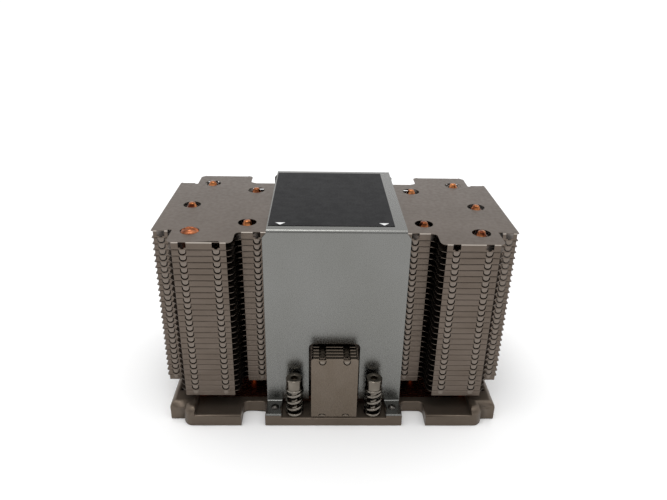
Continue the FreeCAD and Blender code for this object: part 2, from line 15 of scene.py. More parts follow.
import bmesh
import bpy
import numpy as np
from mathutils import Matrix, Vector
from mathutils.geometry import tessellate_polygon

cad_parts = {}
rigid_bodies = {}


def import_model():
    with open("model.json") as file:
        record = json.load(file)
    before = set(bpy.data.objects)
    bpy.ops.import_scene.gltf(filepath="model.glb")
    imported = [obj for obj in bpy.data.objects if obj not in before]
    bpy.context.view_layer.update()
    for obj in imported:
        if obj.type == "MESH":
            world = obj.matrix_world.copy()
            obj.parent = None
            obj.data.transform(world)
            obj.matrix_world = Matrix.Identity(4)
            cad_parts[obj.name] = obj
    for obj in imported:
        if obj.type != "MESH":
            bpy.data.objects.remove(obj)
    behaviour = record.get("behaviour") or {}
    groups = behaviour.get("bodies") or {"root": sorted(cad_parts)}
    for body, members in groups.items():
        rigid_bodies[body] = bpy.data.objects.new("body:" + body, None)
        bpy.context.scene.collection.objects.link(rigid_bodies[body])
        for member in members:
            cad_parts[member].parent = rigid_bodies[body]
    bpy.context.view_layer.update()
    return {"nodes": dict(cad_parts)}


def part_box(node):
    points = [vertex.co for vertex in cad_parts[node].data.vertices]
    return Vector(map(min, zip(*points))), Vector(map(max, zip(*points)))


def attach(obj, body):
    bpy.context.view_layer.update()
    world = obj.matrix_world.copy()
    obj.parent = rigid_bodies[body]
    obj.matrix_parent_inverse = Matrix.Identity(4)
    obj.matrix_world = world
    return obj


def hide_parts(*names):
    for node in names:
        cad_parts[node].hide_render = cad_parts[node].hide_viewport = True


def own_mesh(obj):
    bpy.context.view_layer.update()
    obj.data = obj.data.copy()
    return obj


LOG = logging.getLogger("heatsink")
METRE = 0.001
PHOTO_WIDTH = 667.0
SENSOR_WIDTH = 36.0
# In metres: how near points merge
MERGE_DISTANCE = 2e-7
# In degrees: edges sharper than the first are eased, faces flatter than the second are joined before that
SHARP_ANGLE = 40.0
FLAT_ANGLE = 0.4
# In millimetres: what counts as off a plane
HAIR = 0.02

Array = np.ndarray
Rgb = tuple[float, float, float]
Triple = tuple[float, float, float]
Pair = tuple[float, float]
Socket = bpy.types.NodeSocket


class Side(Enum):
    """The front and back of the heatsink, with the sign of Y there."""

    FRONT = -1.0
    BACK = 1.0


class TubeTip(Enum):
    """How the closed end of a riser tube was shut."""

    DRAWN = "drawn"
    PINCHED = "pinched"


class Window(Enum):
    """The foot of a lock's window: notched where it is left open, rounded where a tongue fills it."""

    NOTCHED = "notched"
    ROUNDED = "rounded"


class Slot(Enum):
    """The record's material slots."""

    FRAME = "nickel_frame"
    COVER = "satin_cover"
    FASTENER = "steel_fastener"
    TUBE = "copper_tube"
    FIN = "nickel_fin"
    SPRING = "spring_wire"


@dataclass(frozen=True)
class Surface:
    """Points in millimetres, as rows, and the quads and triangles that join them, as rows of indices."""

    points: Array
    quads: Array = field(default_factory=lambda: np.empty((0, 4), int))
    triangles: Array = field(default_factory=lambda: np.empty((0, 3), int))

    @classmethod
    def grid(cls, points: Array, keep: Optional[Array] = None, closed: bool = False) -> "Surface":
        """Quads between neighbouring points of a grid.

        Args:
            points: rows by columns by 3 places.
            keep: marks the cells that are filled; all of them when left out.
            closed: joins the last column to the first.

        Returns:
            The surface, without the points that no kept cell uses.
        """
        rows, columns = points.shape[:2]
        index = np.arange(rows * columns).reshape(rows, columns)
        following = np.roll(index, -1, axis=1)
        if not closed:
            index, following = index[:, :-1], following[:, :-1]
        cells = np.stack([index[:-1], following[:-1], following[1:], index[1:]], axis=-1)
        quads = cells[keep] if keep is not None else cells.reshape(-1, 4)
        used, quads = np.unique(quads, return_inverse=True)
        return cls(points.reshape(-1, 3)[used], quads.reshape(-1, 4))

    @classmethod
    def joined(cls, parts: Sequence["Surface"]) -> "Surface":
        """Puts surfaces together.

        Args:
            parts: the surfaces.

        Returns:
            One surface with all their points and faces.
        """
        starts = np.cumsum([0] + [len(part.points) for part in parts[:-1]])
        return cls(
            np.vstack([part.points for part in parts]),
            np.vstack([part.quads + start for part, start in zip(parts, starts)]),
            np.vstack([part.triangles + start for part, start in zip(parts, starts)]),
        )

    def mapped(self, axes: Array, origin: Sequence[float]) -> "Surface":
        """The surface in another frame, with its faces turned round where that frame mirrors it.

        Args:
            axes: 3 by 3, the new directions of X, Y and Z as rows.
            origin: where the old origin goes.

        Returns:
            The mapped surface.
        """
        step = -1 if np.linalg.det(axes) < 0 else 1
        points = self.points @ axes + np.asarray(origin)
        return Surface(points, self.quads[:, ::step], self.triangles[:, ::step])

    def moved(self, x: float = 0.0, y: float = 0.0, z: float = 0.0) -> "Surface":
        """The surface shifted by that much."""
        return self.mapped(np.eye(3), (x, y, z))


def revolved(radius: Array, height: Array, segments: int) -> Surface:
    """A profile carried round the Z axis, row by row from its foot: x = r cos a, y = r sin a, z = h.

    Args:
        radius: one radius a row, or rows by segments where the section isn't round.
        height: one height a row.
        segments: steps round the axis.

    Returns:
        The surface, open only where the end rows have a radius.
    """
    angle = np.linspace(0.0, 2.0 * math.pi, segments, endpoint=False)
    ring = np.broadcast_to(radius.reshape(len(height), -1), (len(height), segments))
    z = np.broadcast_to(height[:, None], ring.shape)
    return Surface.grid(np.stack([ring * np.cos(angle), ring * np.sin(angle), z], axis=-1), closed=True)


def arc(centre: Sequence[float], radius: float, first: float, last: float, steps: int) -> Array:
    """Points on an arc in a plane, from the first angle to the last, in degrees."""
    angle = np.radians(np.linspace(first, last, steps))
    return np.column_stack([centre[0] + radius * np.cos(angle), centre[1] + radius * np.sin(angle)])


def flat_sheet(loops: Sequence[Array], height: float) -> Surface:
    """A level sheet that fills the first loop and leaves the others open, split into triangles that face up.

    Args:
        loops: outlines as n by 2 points, the outer one first.
        height: Z of the sheet.

    Returns:
        The sheet.
    """
    triangles = np.array(tessellate_polygon([[Vector((x, y, 0.0)) for x, y in loop] for loop in loops]))
    flat = np.vstack(loops)
    a, b, c = (flat[triangles[:, corner]] for corner in range(3))
    turn = (b[:, 0] - a[:, 0]) * (c[:, 1] - a[:, 1]) - (b[:, 1] - a[:, 1]) * (c[:, 0] - a[:, 0])
    triangles = np.where((turn < 0)[:, None], triangles[:, ::-1], triangles)
    return Surface(np.column_stack([flat, np.full(len(flat), height)]), triangles=triangles)


class NodeTree:
    """The nodes of a new material or world, with short calls for those that the finishes share."""

    def __init__(self, owner: bpy.types.ID, shader: str = "Principled BSDF", place: str = "Object") -> None:
        """Starts from the nodes that an owner has.

        Args:
            owner: the material or world.
            shader: the name of its shader.
            place: the coordinates that its textures use.
        """
        owner.use_nodes = True
        self.owner, self.tree = owner, owner.node_tree
        self.shader = self.tree.nodes[shader]
        self.place = self.add("ShaderNodeTexCoord", place, {})

    def feed(self, node: bpy.types.Node, inputs: dict[str | int, Any]) -> None:
        """Joins sockets to a node's inputs, or gives them constants.

        Args:
            node: the node.
            inputs: the socket or constant of each input, by the input's name or number.
        """
        for key, value in inputs.items():
            if isinstance(value, Socket):
                self.tree.links.new(value, node.inputs[key])
            else:
                node.inputs[key].default_value = value

    def add(self, kind: str, output: str | int, inputs: dict[str | int, Any], **settings: Any) -> Socket:
        """Adds a node.

        Args:
            kind: its type.
            output: the name or number of the output that is wanted.
            inputs: what its inputs get.
            **settings: its properties.

        Returns:
            The output.
        """
        node = self.tree.nodes.new(kind)
        for key, value in settings.items():
            setattr(node, key, value)
        self.feed(node, inputs)
        return node.outputs[output]

    def noise(self, per_metre: Triple, detail: float = 3.0) -> Socket:
        """Noise, about 0.5 on average, by its features a metre along X, Y and Z and its octaves of detail."""
        place = self.add("ShaderNodeMapping", "Vector", {"Vector": self.place, "Scale": per_metre})
        return self.add("ShaderNodeTexNoise", "Fac", {"Vector": place, "Scale": 1.0, "Detail": detail})

    def between(
        self, value: Socket, low: float, high: float, span: Pair = (0.35, 0.65), smooth: bool = False
    ) -> Socket:
        """Maps a value to a new range, and holds it at the ends.

        Args:
            value: the value.
            low: what the start of the span becomes.
            high: what its end becomes.
            span: the values that are mapped.
            smooth: whether the change begins and ends softly.

        Returns:
            The mapped value.
        """
        inputs = {"Value": value, "From Min": span[0], "From Max": span[1], "To Min": low, "To Max": high}
        kind = "SMOOTHSTEP" if smooth else "LINEAR"
        return self.add("ShaderNodeMapRange", "Result", inputs, interpolation_type=kind)

    def mixed(self, share: Socket, first: Any, second: Any) -> Socket:
        """Two colours, each a value or a socket, mixed by a share."""
        first, second = ((*pick, 1.0) if isinstance(pick, tuple) else pick for pick in (first, second))
        return self.add("ShaderNodeMix", 2, {"Factor": share, 6: first, 7: second}, data_type="RGBA")

    def reckoned(self, operation: str, first: Socket, second: Any) -> Socket:
        """The sum or product of a value and a second one, which is a number or a socket."""
        return self.add("ShaderNodeMath", "Value", {0: first, 1: second}, operation=operation)

    def attribute(self, name: str) -> Socket:
        """The value of one of the piece's own attributes, 0 where it has none."""
        return self.add("ShaderNodeAttribute", "Fac", {}, attribute_name=name)

    def bumped(self, height: Socket, strength: float, depth: float) -> Socket:
        """A normal with fine relief, depth in metres."""
        inputs = {"Height": height, "Strength": strength, "Distance": depth}
        return self.add("ShaderNodeBump", "Normal", inputs)


@dataclass(frozen=True)
class Finish:
    """A finish whose colour drifts slowly and whose roughness and relief follow a fine grain.

    Colours are linear. The patches of the drift and the grain are in features a metre along X, Y and Z. The
    relief is a strength, its depth is in metres, and the detail counts octaves of finer drift.
    """

    name: str
    colour: Rgb
    drift: Rgb
    roughness: Pair
    patch: Triple
    grain: Triple = (900.0, 900.0, 900.0)
    relief: float = 0.08
    depth: float = 5e-5
    detail: float = 3.0

    @cache
    def material(self) -> bpy.types.Material:
        """Builds the finish from nodes, once.

        Returns:
            Its material.
        """
        nodes = NodeTree(bpy.data.materials.new(self.name))
        grain = nodes.noise(self.grain)
        share = nodes.between(nodes.noise(self.patch, self.detail), 0.0, 1.0)
        colour = self.worked(nodes, nodes.mixed(share, self.colour, self.drift))
        nodes.feed(nodes.shader, {"Base Color": colour, "Roughness": nodes.between(grain, *self.roughness)})
        if self.relief:
            nodes.feed(nodes.shader, {"Normal": nodes.bumped(grain, self.relief, self.depth)})
        return nodes.owner

    def worked(self, nodes: NodeTree, colour: Socket) -> Socket:
        """Where each kind of finish marks the colour and sets its own shader values; plain here."""
        return colour


@dataclass(frozen=True)
class MetalFinish(Finish):
    """A bare or plated metal.

    A stain is a third colour in small marks: where in the noise they start, how softly they end, how far
    they cover the metal and how much finer they are than the drift. The painted highlight is a brighter
    colour painted where light catches the piece, by its attribute of that name.
    """

    metallic: float = 1.0
    stain: Optional[Rgb] = None
    stain_start: float = 0.62
    stain_edge: float = 0.14
    stain_share: float = 0.8
    stain_fineness: float = 4.0
    painted_highlight: Optional[Rgb] = None

    def worked(self, nodes: NodeTree, colour: Socket) -> Socket:
        """Marks the colour, and sets the shader as a metal's.

        Args:
            nodes: the material's nodes.
            colour: the drifting colour.

        Returns:
            The colour with its stains and painted highlights.
        """
        nodes.shader.inputs["Metallic"].default_value = self.metallic
        if self.stain is not None:
            marks = nodes.noise(tuple(self.stain_fineness * number for number in self.patch), detail=6.0)
            edge = (self.stain_start, self.stain_start + self.stain_edge)
            colour = nodes.mixed(nodes.between(marks, 0.0, self.stain_share, edge), colour, self.stain)
        # Painted highlight: a lighter colour mixed in where the piece's attribute marks it
        if self.painted_highlight is not None:
            colour = nodes.mixed(nodes.attribute("painted_highlight"), colour, self.painted_highlight)
        return colour


@dataclass(frozen=True)
class FilmFinish(Finish):
    """A film or paper: an even colour, a faint mottle and a fine sheen. A gloss of 0.5 is plain plastic's."""

    patch: Triple = (260.0, 260.0, 260.0)
    grain: Triple = (1400.0, 1400.0, 1400.0)
    relief: float = 0.06
    depth: float = 3e-5
    detail: float = 5.0
    gloss: float = 0.04

    def worked(self, nodes: NodeTree, colour: Socket) -> Socket:
        """The plain colour, on a film's shader."""
        nodes.shader.inputs["Specular IOR Level"].default_value = self.gloss
        return colour


# In order: name, colour, drift, roughness and patch, then what differs from the usual
FRAME_NICKEL = MetalFinish(
    "plated_frame", (0.124, 0.098, 0.076), (0.106, 0.083, 0.063), (0.35, 0.45), (45.0, 45.0, 90.0),
    relief=0.02, metallic=0.8,
)
# Its last colour is a painted highlight, put on the tongues and on the top fin's bends
FIN_NICKEL = MetalFinish(
    "plated_fin", (0.137, 0.111, 0.092), (0.121, 0.097, 0.079), (0.3, 0.42), (60.0, 60.0, 220.0),
    grain=(500.0, 500.0, 2500.0), painted_highlight=(0.4, 0.36, 0.32),
)
# Its last colour is a painted highlight, put on the scales of the front fin
PACK_NICKEL = MetalFinish(
    "plated_pack", (0.15, 0.123, 0.099), (0.132, 0.106, 0.082), (0.2, 0.3), (80.0, 80.0, 60.0),
    grain=(2500.0, 500.0, 500.0), relief=0.015, painted_highlight=(0.5, 0.46, 0.41),
)
COVER_SATIN = MetalFinish(
    "satin_sheet", (0.194, 0.194, 0.186), (0.178, 0.178, 0.168), (0.23, 0.32), (30.0, 30.0, 18.0),
    grain=(2600.0, 2600.0, 700.0), relief=0.006,
)
TUBE_COPPER = MetalFinish(
    "tube_copper", (0.33, 0.115, 0.052), (0.13, 0.04, 0.018), (0.25, 0.42), (170.0, 170.0, 120.0),
    stain=(0.05, 0.018, 0.012), stain_start=0.56,
)
AGED_COPPER = replace(
    TUBE_COPPER, name="aged_copper", colour=(0.5, 0.19, 0.07), drift=(0.1, 0.022, 0.01),
    roughness=(0.1, 0.22), patch=(380.0, 380.0, 300.0),
)
CHAMBER_COPPER = MetalFinish(
    "chamber_copper", (0.34, 0.125, 0.07), (0.26, 0.09, 0.048), (0.22, 0.34), (25.0, 25.0, 25.0),
    grain=(300.0, 2600.0, 900.0),
)
SCREW_STEEL = MetalFinish(
    "screw_steel", (0.21, 0.188, 0.158), (0.15, 0.132, 0.11), (0.12, 0.22), (140.0, 140.0, 140.0),
    grain=(900.0, 900.0, 2600.0), relief=0.02,
)
DARK_STEEL = MetalFinish(
    "dark_screw_steel", (0.1, 0.093, 0.085), (0.06, 0.056, 0.05), (0.24, 0.38), (240.0, 240.0, 240.0)
)
SPRING_STEEL = MetalFinish(
    "spring_steel", (0.23, 0.208, 0.18), (0.18, 0.16, 0.136), (0.14, 0.24), (200.0, 200.0, 200.0),
    grain=(1500.0, 1500.0, 1500.0), relief=0.02,
)
BLACK_FILM = FilmFinish("black_film", (0.012, 0.012, 0.013), (0.02, 0.02, 0.021), (0.38, 0.5))
WHITE_INK = FilmFinish("white_ink", (0.72, 0.72, 0.72), (0.64, 0.64, 0.64), (0.45, 0.55))
FLOOR_PAPER = FilmFinish(
    "floor_paper", (0.97, 0.97, 0.97), (0.95545, 0.95545, 0.95545), (0.9, 0.9), (6.0, 6.0, 6.0),
    relief=0.0, detail=3.0, gloss=0.1,
)


def add_object(name: str, data: bpy.types.ID) -> bpy.types.Object:
    """Puts a new object in the scene, at the origin.

    Args:
        name: its name.
        data: a mesh, a lamp or a camera.

    Returns:
        The object.
    """
    thing = bpy.data.objects.new(name, data)
    bpy.context.scene.collection.objects.link(thing)
    return thing


def new_mesh(name: str, surface: Surface) -> bpy.types.Mesh:
    """Turns a surface into a mesh.

    Args:
        name: the mesh's name.
        surface: its shape in millimetres.

    Returns:
        The mesh, in metres.
    """
    mesh = bpy.data.meshes.new(name)
    faces = surface.quads.tolist() + surface.triangles.tolist()
    mesh.from_pydata((surface.points * METRE).tolist(), [], faces)
    return mesh


def make_piece(
    name: str,
    surface: Surface,
    finish: Finish,
    body: str = "sink",
    replaces: Sequence[str] = (),
    smooth: Optional[float] = None,
) -> bpy.types.Object:
    """Turns a surface into a piece of the object.

    Args:
        name: the piece's name.
        surface: its shape in millimetres.
        finish: what it is dressed in.
        body: the body it rides on.
        replaces: the CAD nodes that it stands for.
        smooth: shade smooth across edges flatter than this many degrees; flat when left out.

    Returns:
        The piece, at the origin.
    """
    mesh = new_mesh(name, surface)
    close_seams(mesh)
    piece = add_object(name, mesh)
    dress(piece, finish, smooth)
    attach(piece, body)
    if replaces:
        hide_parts(*replaces)
    LOG.info("%s: %d faces on %s", name, len(mesh.polygons), body)
    return piece


def close_seams(mesh: bpy.types.Mesh, flat: float = 0.0) -> None:
    """Merges the points of a mesh that lie together.

    Args:
        mesh: the mesh.
        flat: also joins faces that lie within this many degrees of one plane.
    """
    work = bmesh.new()
    work.from_mesh(mesh)
    bmesh.ops.remove_doubles(work, verts=work.verts, dist=MERGE_DISTANCE)
    if flat:
        bmesh.ops.dissolve_limit(work, angle_limit=math.radians(flat), verts=work.verts, edges=work.edges)
    work.to_mesh(mesh)
    work.free()


def dress(
    piece: bpy.types.Object, finish: Finish, smooth: Optional[float] = None
) -> None:
    """Gives a piece its looks.

    Args:
        piece: a piece, or a CAD node that keeps its shape.
        finish: its material.
        smooth: shade smooth across edges flatter than this many degrees.
    """
    piece.data.materials.clear()
    piece.data.materials.append(finish.material())
    if smooth is not None:
        piece.data.shade_smooth()
        piece.data.set_sharp_from_angle(angle=math.radians(smooth))


def painted_highlight(piece: bpy.types.Object, shares: Callable[[Array], Array]) -> None:
    """Notes on a piece where a highlight is painted on it.

    Args:
        piece: the piece.
        shares: gives how much painted highlight each of its points gets, from 0 to 1, by their places in
            millimetres.
    """
    points = np.empty(3 * len(piece.data.vertices), np.float32)
    piece.data.vertices.foreach_get("co", points)
    share = shares(points.reshape(-1, 3) / METRE).astype(np.float32)
    piece.data.attributes.new("painted_highlight", "FLOAT", "POINT").data.foreach_set("value", share)


def thicken(piece: bpy.types.Object, sheet: float) -> None:
    """Gives an outer skin its wall, inwards, sheet in millimetres."""
    solidify = piece.modifiers.new("sheet", "SOLIDIFY")
    solidify.thickness, solidify.offset = sheet * METRE, -1.0


def sharp_edges(mesh: bpy.types.Mesh) -> tuple[Array, Array]:
    """Finds the sharp edges of a mesh.

    Args:
        mesh: the mesh.

    Returns:
        For each edge 1 if it is sharp or else 0, and its middle in millimetres.
    """
    mesh.set_sharp_from_angle(angle=math.radians(SHARP_ANGLE))
    sharp = np.zeros(len(mesh.edges), bool)
    mesh.attributes["sharp_edge"].data.foreach_get("value", sharp)
    ends, points = np.empty(2 * len(mesh.edges), np.int32), np.empty(3 * len(mesh.vertices), np.float32)
    mesh.edges.foreach_get("vertices", ends)
    mesh.vertices.foreach_get("co", points)
    return sharp.astype(np.float32), points.reshape(-1, 3)[ends.reshape(-1, 2)].mean(axis=1) / METRE


def rounded_copy(
    node_name: str, finish: MetalFinish, rounding: Callable[[Array], Array], segments: int
) -> bpy.types.Object:
    """A merged copy of a CAD node with eased edges, standing for that node.

    Args:
        node_name: the CAD node.
        finish: what it is dressed in.
        rounding: gives the size of the eased edges in millimetres from the middles of the edges.
        segments: steps round an eased edge.

    Returns:
        The piece.
    """
    mesh = bpy.data.objects[node_name].data.copy()
    close_seams(mesh, flat=FLAT_ANGLE)
    sharp, middle = sharp_edges(mesh)
    size = sharp * rounding(middle)
    mesh.attributes.new("bevel_weight_edge", "FLOAT", "EDGE").data.foreach_set("value", size / size.max())
    piece = add_object(f"{node_name}_eased", mesh)
    dress(piece, finish, smooth=32.0)
    bevel = piece.modifiers.new("edges", "BEVEL")
    bevel.limit_method = "WEIGHT"
    bevel.width, bevel.segments = float(size.max()) * METRE, segments
    bevel.use_clamp_overlap, bevel.harden_normals = False, True
    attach(piece, "sink")
    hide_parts(node_name)
    LOG.info("%s: %d of %d edges eased", piece.name, np.count_nonzero(size), len(size))
    return piece


def node_box(node_name: str) -> tuple[Array, Array]:
    """The low and high corners of a CAD node, in millimetres."""
    low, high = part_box(node_name)
    return np.array(low) / METRE, np.array(high) / METRE


def node_centre(node_name: str) -> Pair:
    """Where a CAD node stands in plan, in millimetres."""
    low, high = node_box(node_name)
    return tuple((low + high)[:2] / 2.0)


# Columns across a lock, as shares of its half width; a tongue's rows, as shares of its drop and of its width
LOCK_SHARES = np.array([-1.0, -0.93, -0.77, -0.55, -0.3, 0.3, 0.55, 0.77, 0.93, 1.0])
TONGUE_DROPS = np.array([1.0, 0.6, 0.2, 0.0])[:, None]
TONGUE_WIDTHS = np.array([0.78, 0.8, 0.82, 1.0])[:, None]
# Where the sides of an open notch rise, in the same shares, and the rings of a scale on the front pack
NOTCH_SIDES = (0.3, 0.55)
SCALE_RINGS = np.array([1.0, 0.8, 0.4, 0.0])[:, None, None]


@dataclass(frozen=True)
class FoldRun:
    """One straight folded edge of a fin: where it starts and stops along X, and the middles of its locks."""

    start: float
    stop: float
    locks: tuple[float, ...]
    lock_width: float

    def columns(self) -> tuple[Array, Array, Array, Array]:
        """The grid columns of the run.

        Returns:
            Each column's X, the middle of its lock, its share across the lock from -1 to 1, or 2 outside one,
            and for each cell whether it lies in a lock.
        """
        count = len(LOCK_SHARES)
        middles = np.array(self.locks)
        inner = middles[:, None] + LOCK_SHARES * self.lock_width / 2.0
        x = np.concatenate([[self.start], inner.ravel(), [self.stop]])
        middle = np.concatenate([[self.start], np.repeat(middles, count), [self.stop]])
        share = np.concatenate([[2.0], np.tile(LOCK_SHARES, len(middles)), [2.0]])
        locked = np.append(np.ones(count - 1, bool), False)
        return x, middle, share, np.concatenate([[False], np.tile(locked, len(middles))])

    def line(self, y: float) -> Array:
        """The columns as points in plan, at that Y."""
        x = self.columns()[0]
        return np.column_stack([x, np.full(len(x), y)])


@dataclass(frozen=True)
class Fold:
    """Section of a folded edge, from the tongue's tip up the wall, round the bend and onto the plate.

    Attributes:
        pitch: height of the fold, from the plate of the next fin down to its own.
        below: height of the next fold down, whose windows the tongues fill.
        window: the form of a window's foot.
        seam: the gap to the next fin.
        bend: outer radius of the bend.
        lip: width of the plate's margin that belongs to the fold.
        bridge: height of the metal under a window.
        shelf: height of the metal beside the notch of an open window.
        slit: gap under the middle of a tongue's tip.
        squeeze: the share of that gap that is lost towards its sides.
        lift: how much higher a tongue ends at its sides.
        proud: how far a tongue's tip stands out.
        crown: how far a tongue's sides curl in.
    """

    pitch: float
    below: float
    window: Window = Window.ROUNDED
    seam: float = 0.22
    bend: float = 0.5
    lip: float = 1.2
    bridge: float = 0.12
    shelf: float = 0.8
    slit: float = 0.72
    squeeze: float = 0.5
    lift: float = 0.95
    proud: float = 0.12
    crown: float = 0.26

    def tip_rise(self, share: Array) -> Array:
        """How much higher a tongue ends off its middle: a half ellipse, lift * (1 - sqrt(1 - s * s))."""
        return self.lift * (1.0 - np.sqrt(np.clip(1.0 - share**2, 0.0, 1.0)))

    def window_foot(self, share: Array) -> Array:
        """Height of a window's foot: a notch with steep sides, or the curve of a tip.

        Args:
            share: places across a lock, from -1 to 1.

        Returns:
            The height at each place. The gap under a tip narrows to its sides.
        """
        if self.window is Window.NOTCHED:
            return np.interp(np.abs(share), NOTCH_SIDES, [self.bridge, self.shelf])
        return self.bridge + self.tip_rise(share) + self.slit * self.squeeze * share**2

    def surface(self, run: FoldRun, tongues: bool = True) -> Surface:
        """The outer skin of one folded edge, with X along the edge, Y into the sheet and Z up.

        The columns run along the edge and the rows up the section. Outside the locks a row keeps one height:
        the foot, the wall, a quarter circle, then the plate. In a lock the lowest rows hang down as a tongue
        with a round tip that curls in at its sides, and the cells of the window, from its foot to the end of
        the bend, are left out.

        Args:
            run: where the fold lies and where its locks are.
            tongues: whether tongues hang from it.

        Returns:
            The skin, facing outwards.
        """
        x, middle, share, locked = run.columns()
        rows = len(TONGUE_DROPS)
        turn = np.radians([0.0, 30.0, 60.0, 90.0])
        bend_rise = self.pitch + self.bend * (np.sin(turn) - 1.0)
        depth = np.concatenate([np.zeros(rows + 1), self.bend * (1.0 - np.cos(turn)), [self.lip]])
        height = np.concatenate([np.full(rows, self.seam), [self.seam + self.shelf], bend_rise, [self.pitch]])
        shape = (len(depth), len(x))
        depth = np.broadcast_to(depth[:, None], shape).copy()
        height = np.broadcast_to(height[:, None], shape).copy()
        across = np.broadcast_to(x, shape).copy()
        inside = np.abs(share) <= 1.0
        tip = self.seam + self.bridge + self.slit - self.below + self.tip_rise(share)
        height[:rows] = np.where(inside, self.seam + TONGUE_DROPS * (tip - self.seam), height[:rows])
        height[rows] = np.where(inside, self.seam + self.window_foot(share), height[rows])
        across[:rows] = np.where(inside, middle + (x - middle) * TONGUE_WIDTHS, across[:rows])
        depth[:rows] = np.where(inside, TONGUE_DROPS * (self.crown * share**2 - self.proud), depth[:rows])
        keep = np.ones((shape[0] - 1, shape[1] - 1), bool)
        keep[: rows - 1] = locked & tongues
        keep[rows : rows + len(turn)] = ~locked
        return Surface.grid(np.stack([across, depth, height], axis=-1), keep)


@dataclass
class FinStack:
    """The horizontal fins: stamped plates with folded, interlocked front and back edges."""

    names: Sequence[str]
    pitch: float = 2.85
    top_rise: float = 0.5
    sheet: float = 0.2
    half_length: float = 79.0
    strip_y: float = 31.5
    block_y: float = 43.3
    recess_y: float = 32.2
    block_outer_x: float = 70.1
    block_inner_x: float = 43.0
    chamfer: float = 2.2
    corner: float = 2.5
    strip_end: float = 1.0
    strip_corner: float = 0.9
    slot_width: float = 1.7
    slot_depth: float = 1.5
    strip_lock_x: float = 74.8
    block_lock_x: Pair = (49.6, 63.4)
    recess_lock_x: float = 34.0
    lock_width: float = 3.25
    foot_lock_width: float = 2.6
    hole_diameter: float = 8.2
    hole_steps: int = 32
    foot_bridge: float = 0.7
    # Painted highlight: its strength on the tongues and on the top fin's bends, and the share of the bend's
    # radius that it covers
    tongue_painted_highlight: float = 0.2
    bend_painted_highlight: float = 0.9
    bend_share: float = 0.9

    def runs(self) -> list[tuple[FoldRun, float]]:
        """Lays out the folded edges of one side.

        Returns:
            The edges from left to right, each with its distance from the middle.
        """
        near, far = self.block_lock_x
        inner, outer = self.block_inner_x + self.corner, self.block_outer_x - self.chamfer
        end, root = self.half_length - self.strip_end, self.block_outer_x + self.slot_width
        recess = self.block_inner_x - self.corner
        spans = [
            (-end, -root, (-self.strip_lock_x,), self.strip_y),
            (-outer, -inner, (-far, -near), self.block_y),
            (-recess, recess, (-self.recess_lock_x, self.recess_lock_x), self.recess_y),
            (inner, outer, (near, far), self.block_y),
            (root, end, (self.strip_lock_x,), self.strip_y),
        ]
        return [(FoldRun(start, stop, locks, self.lock_width), y) for start, stop, locks, y in spans]

    def plate_outline(self, lip: float) -> Array:
        """The plate's outline inside its lips: the left half of the front, mirrored in X and then in Y.

        Args:
            lip: width of the margin that belongs to the folds.

        Returns:
            The closed outline.
        """
        strip, block, recess = (run for run, _ in self.runs()[:3])
        nook, slot_end = self.strip_corner, self.slot_depth - self.strip_y
        inner = recess.line(lip - self.recess_y)
        left = np.vstack(
            [
                arc((nook - self.half_length, nook - self.strip_y), nook, 180.0, 270.0, 5),
                [[strip.start, -self.strip_y]],
                strip.line(lip - self.strip_y),
                [[strip.stop, slot_end], [-self.block_outer_x, slot_end]],
                [[-self.block_outer_x, self.chamfer - self.block_y], [block.start, -self.block_y]],
                block.line(lip - self.block_y),
                arc((block.stop, -self.block_y + self.corner), self.corner, -90.0, 0.0, 6),
                arc((recess.start, -self.recess_y - self.corner), self.corner, 180.0, 90.0, 6),
                inner[inner[:, 0] < 0.0],
            ]
        )
        front = np.vstack([left, left[::-1] * [-1.0, 1.0]])
        return np.vstack([front, front[::-1] * [1.0, -1.0]])

    def skin(self, fold: Fold, holes: Sequence[Pair], tongues: bool = True) -> Surface:
        """The outer skin of one fin with its plate at Z = 0.

        Args:
            fold: the section of the folded edges.
            holes: the middles of the tube holes.
            tongues: whether tongues hang from the folds.

        Returns:
            The skin: a level plate and ten folds, five in front and their mirror image behind.
        """
        radius, steps = self.hole_diameter / 2.0, self.hole_steps + 1
        rims = [arc(centre, radius, 0.0, 360.0, steps)[:-1] for centre in holes]
        parts = [flat_sheet([self.plate_outline(fold.lip), *rims], 0.0)]
        for run, distance in self.runs():
            edge = fold.surface(run, tongues)
            for side in Side:
                axes = np.diag([1.0, -side.value, 1.0])
                parts.append(edge.mapped(axes, (0.0, side.value * distance, -fold.pitch)))
        return Surface.joined(parts)

    def build(self, tube_names: Sequence[str]) -> None:
        """Makes every fin: the lowest with tight windows and no tongues, the top one taller, with open ones.

        Args:
            tube_names: the CAD tubes that go through the fins.
        """
        holes = [node_centre(name) for name in tube_names]
        fold = Fold(self.pitch, self.pitch)
        foot_fold = replace(fold, bridge=self.foot_bridge)
        top_fold = Fold(self.pitch + self.top_rise, self.pitch, Window.NOTCHED)
        foot = replace(self, lock_width=self.foot_lock_width)
        shapes = [(foot_fold, foot.skin(foot_fold, holes, tongues=False))]
        shapes += [(fold, self.skin(fold, holes))] * (len(self.names) - 2)
        shapes += [(top_fold, self.skin(top_fold, holes))]
        for name, (shape, skin) in zip(self.names, shapes):
            top = node_box(name)[1][2]
            piece = make_piece(f"{name}_folded", skin.moved(z=top), FIN_NICKEL, replaces=(name,))
            # Paints a highlight on the tongues and on the top fin's bends
            painted_highlight(piece, lambda points: self.highlight_shares(points[:, 2] - top, shape))
            thicken(piece, self.sheet)

    def highlight_shares(self, height: Array, fold: Fold) -> Array:
        """Finds where a highlight is painted on a fin: its tongues, and the bends of the top one.

        Args:
            height: the height of each point over the plate.
            fold: the section of the folded edges.

        Returns:
            How much painted highlight each point gets.
        """
        tongue = height < fold.seam - fold.pitch - HAIR
        bend = (height > -self.bend_share * fold.bend) & (height < -HAIR / 2.0)
        bend &= fold.window is Window.NOTCHED
        return np.where(bend, self.bend_painted_highlight, np.where(tongue, self.tongue_painted_highlight, 0.0))


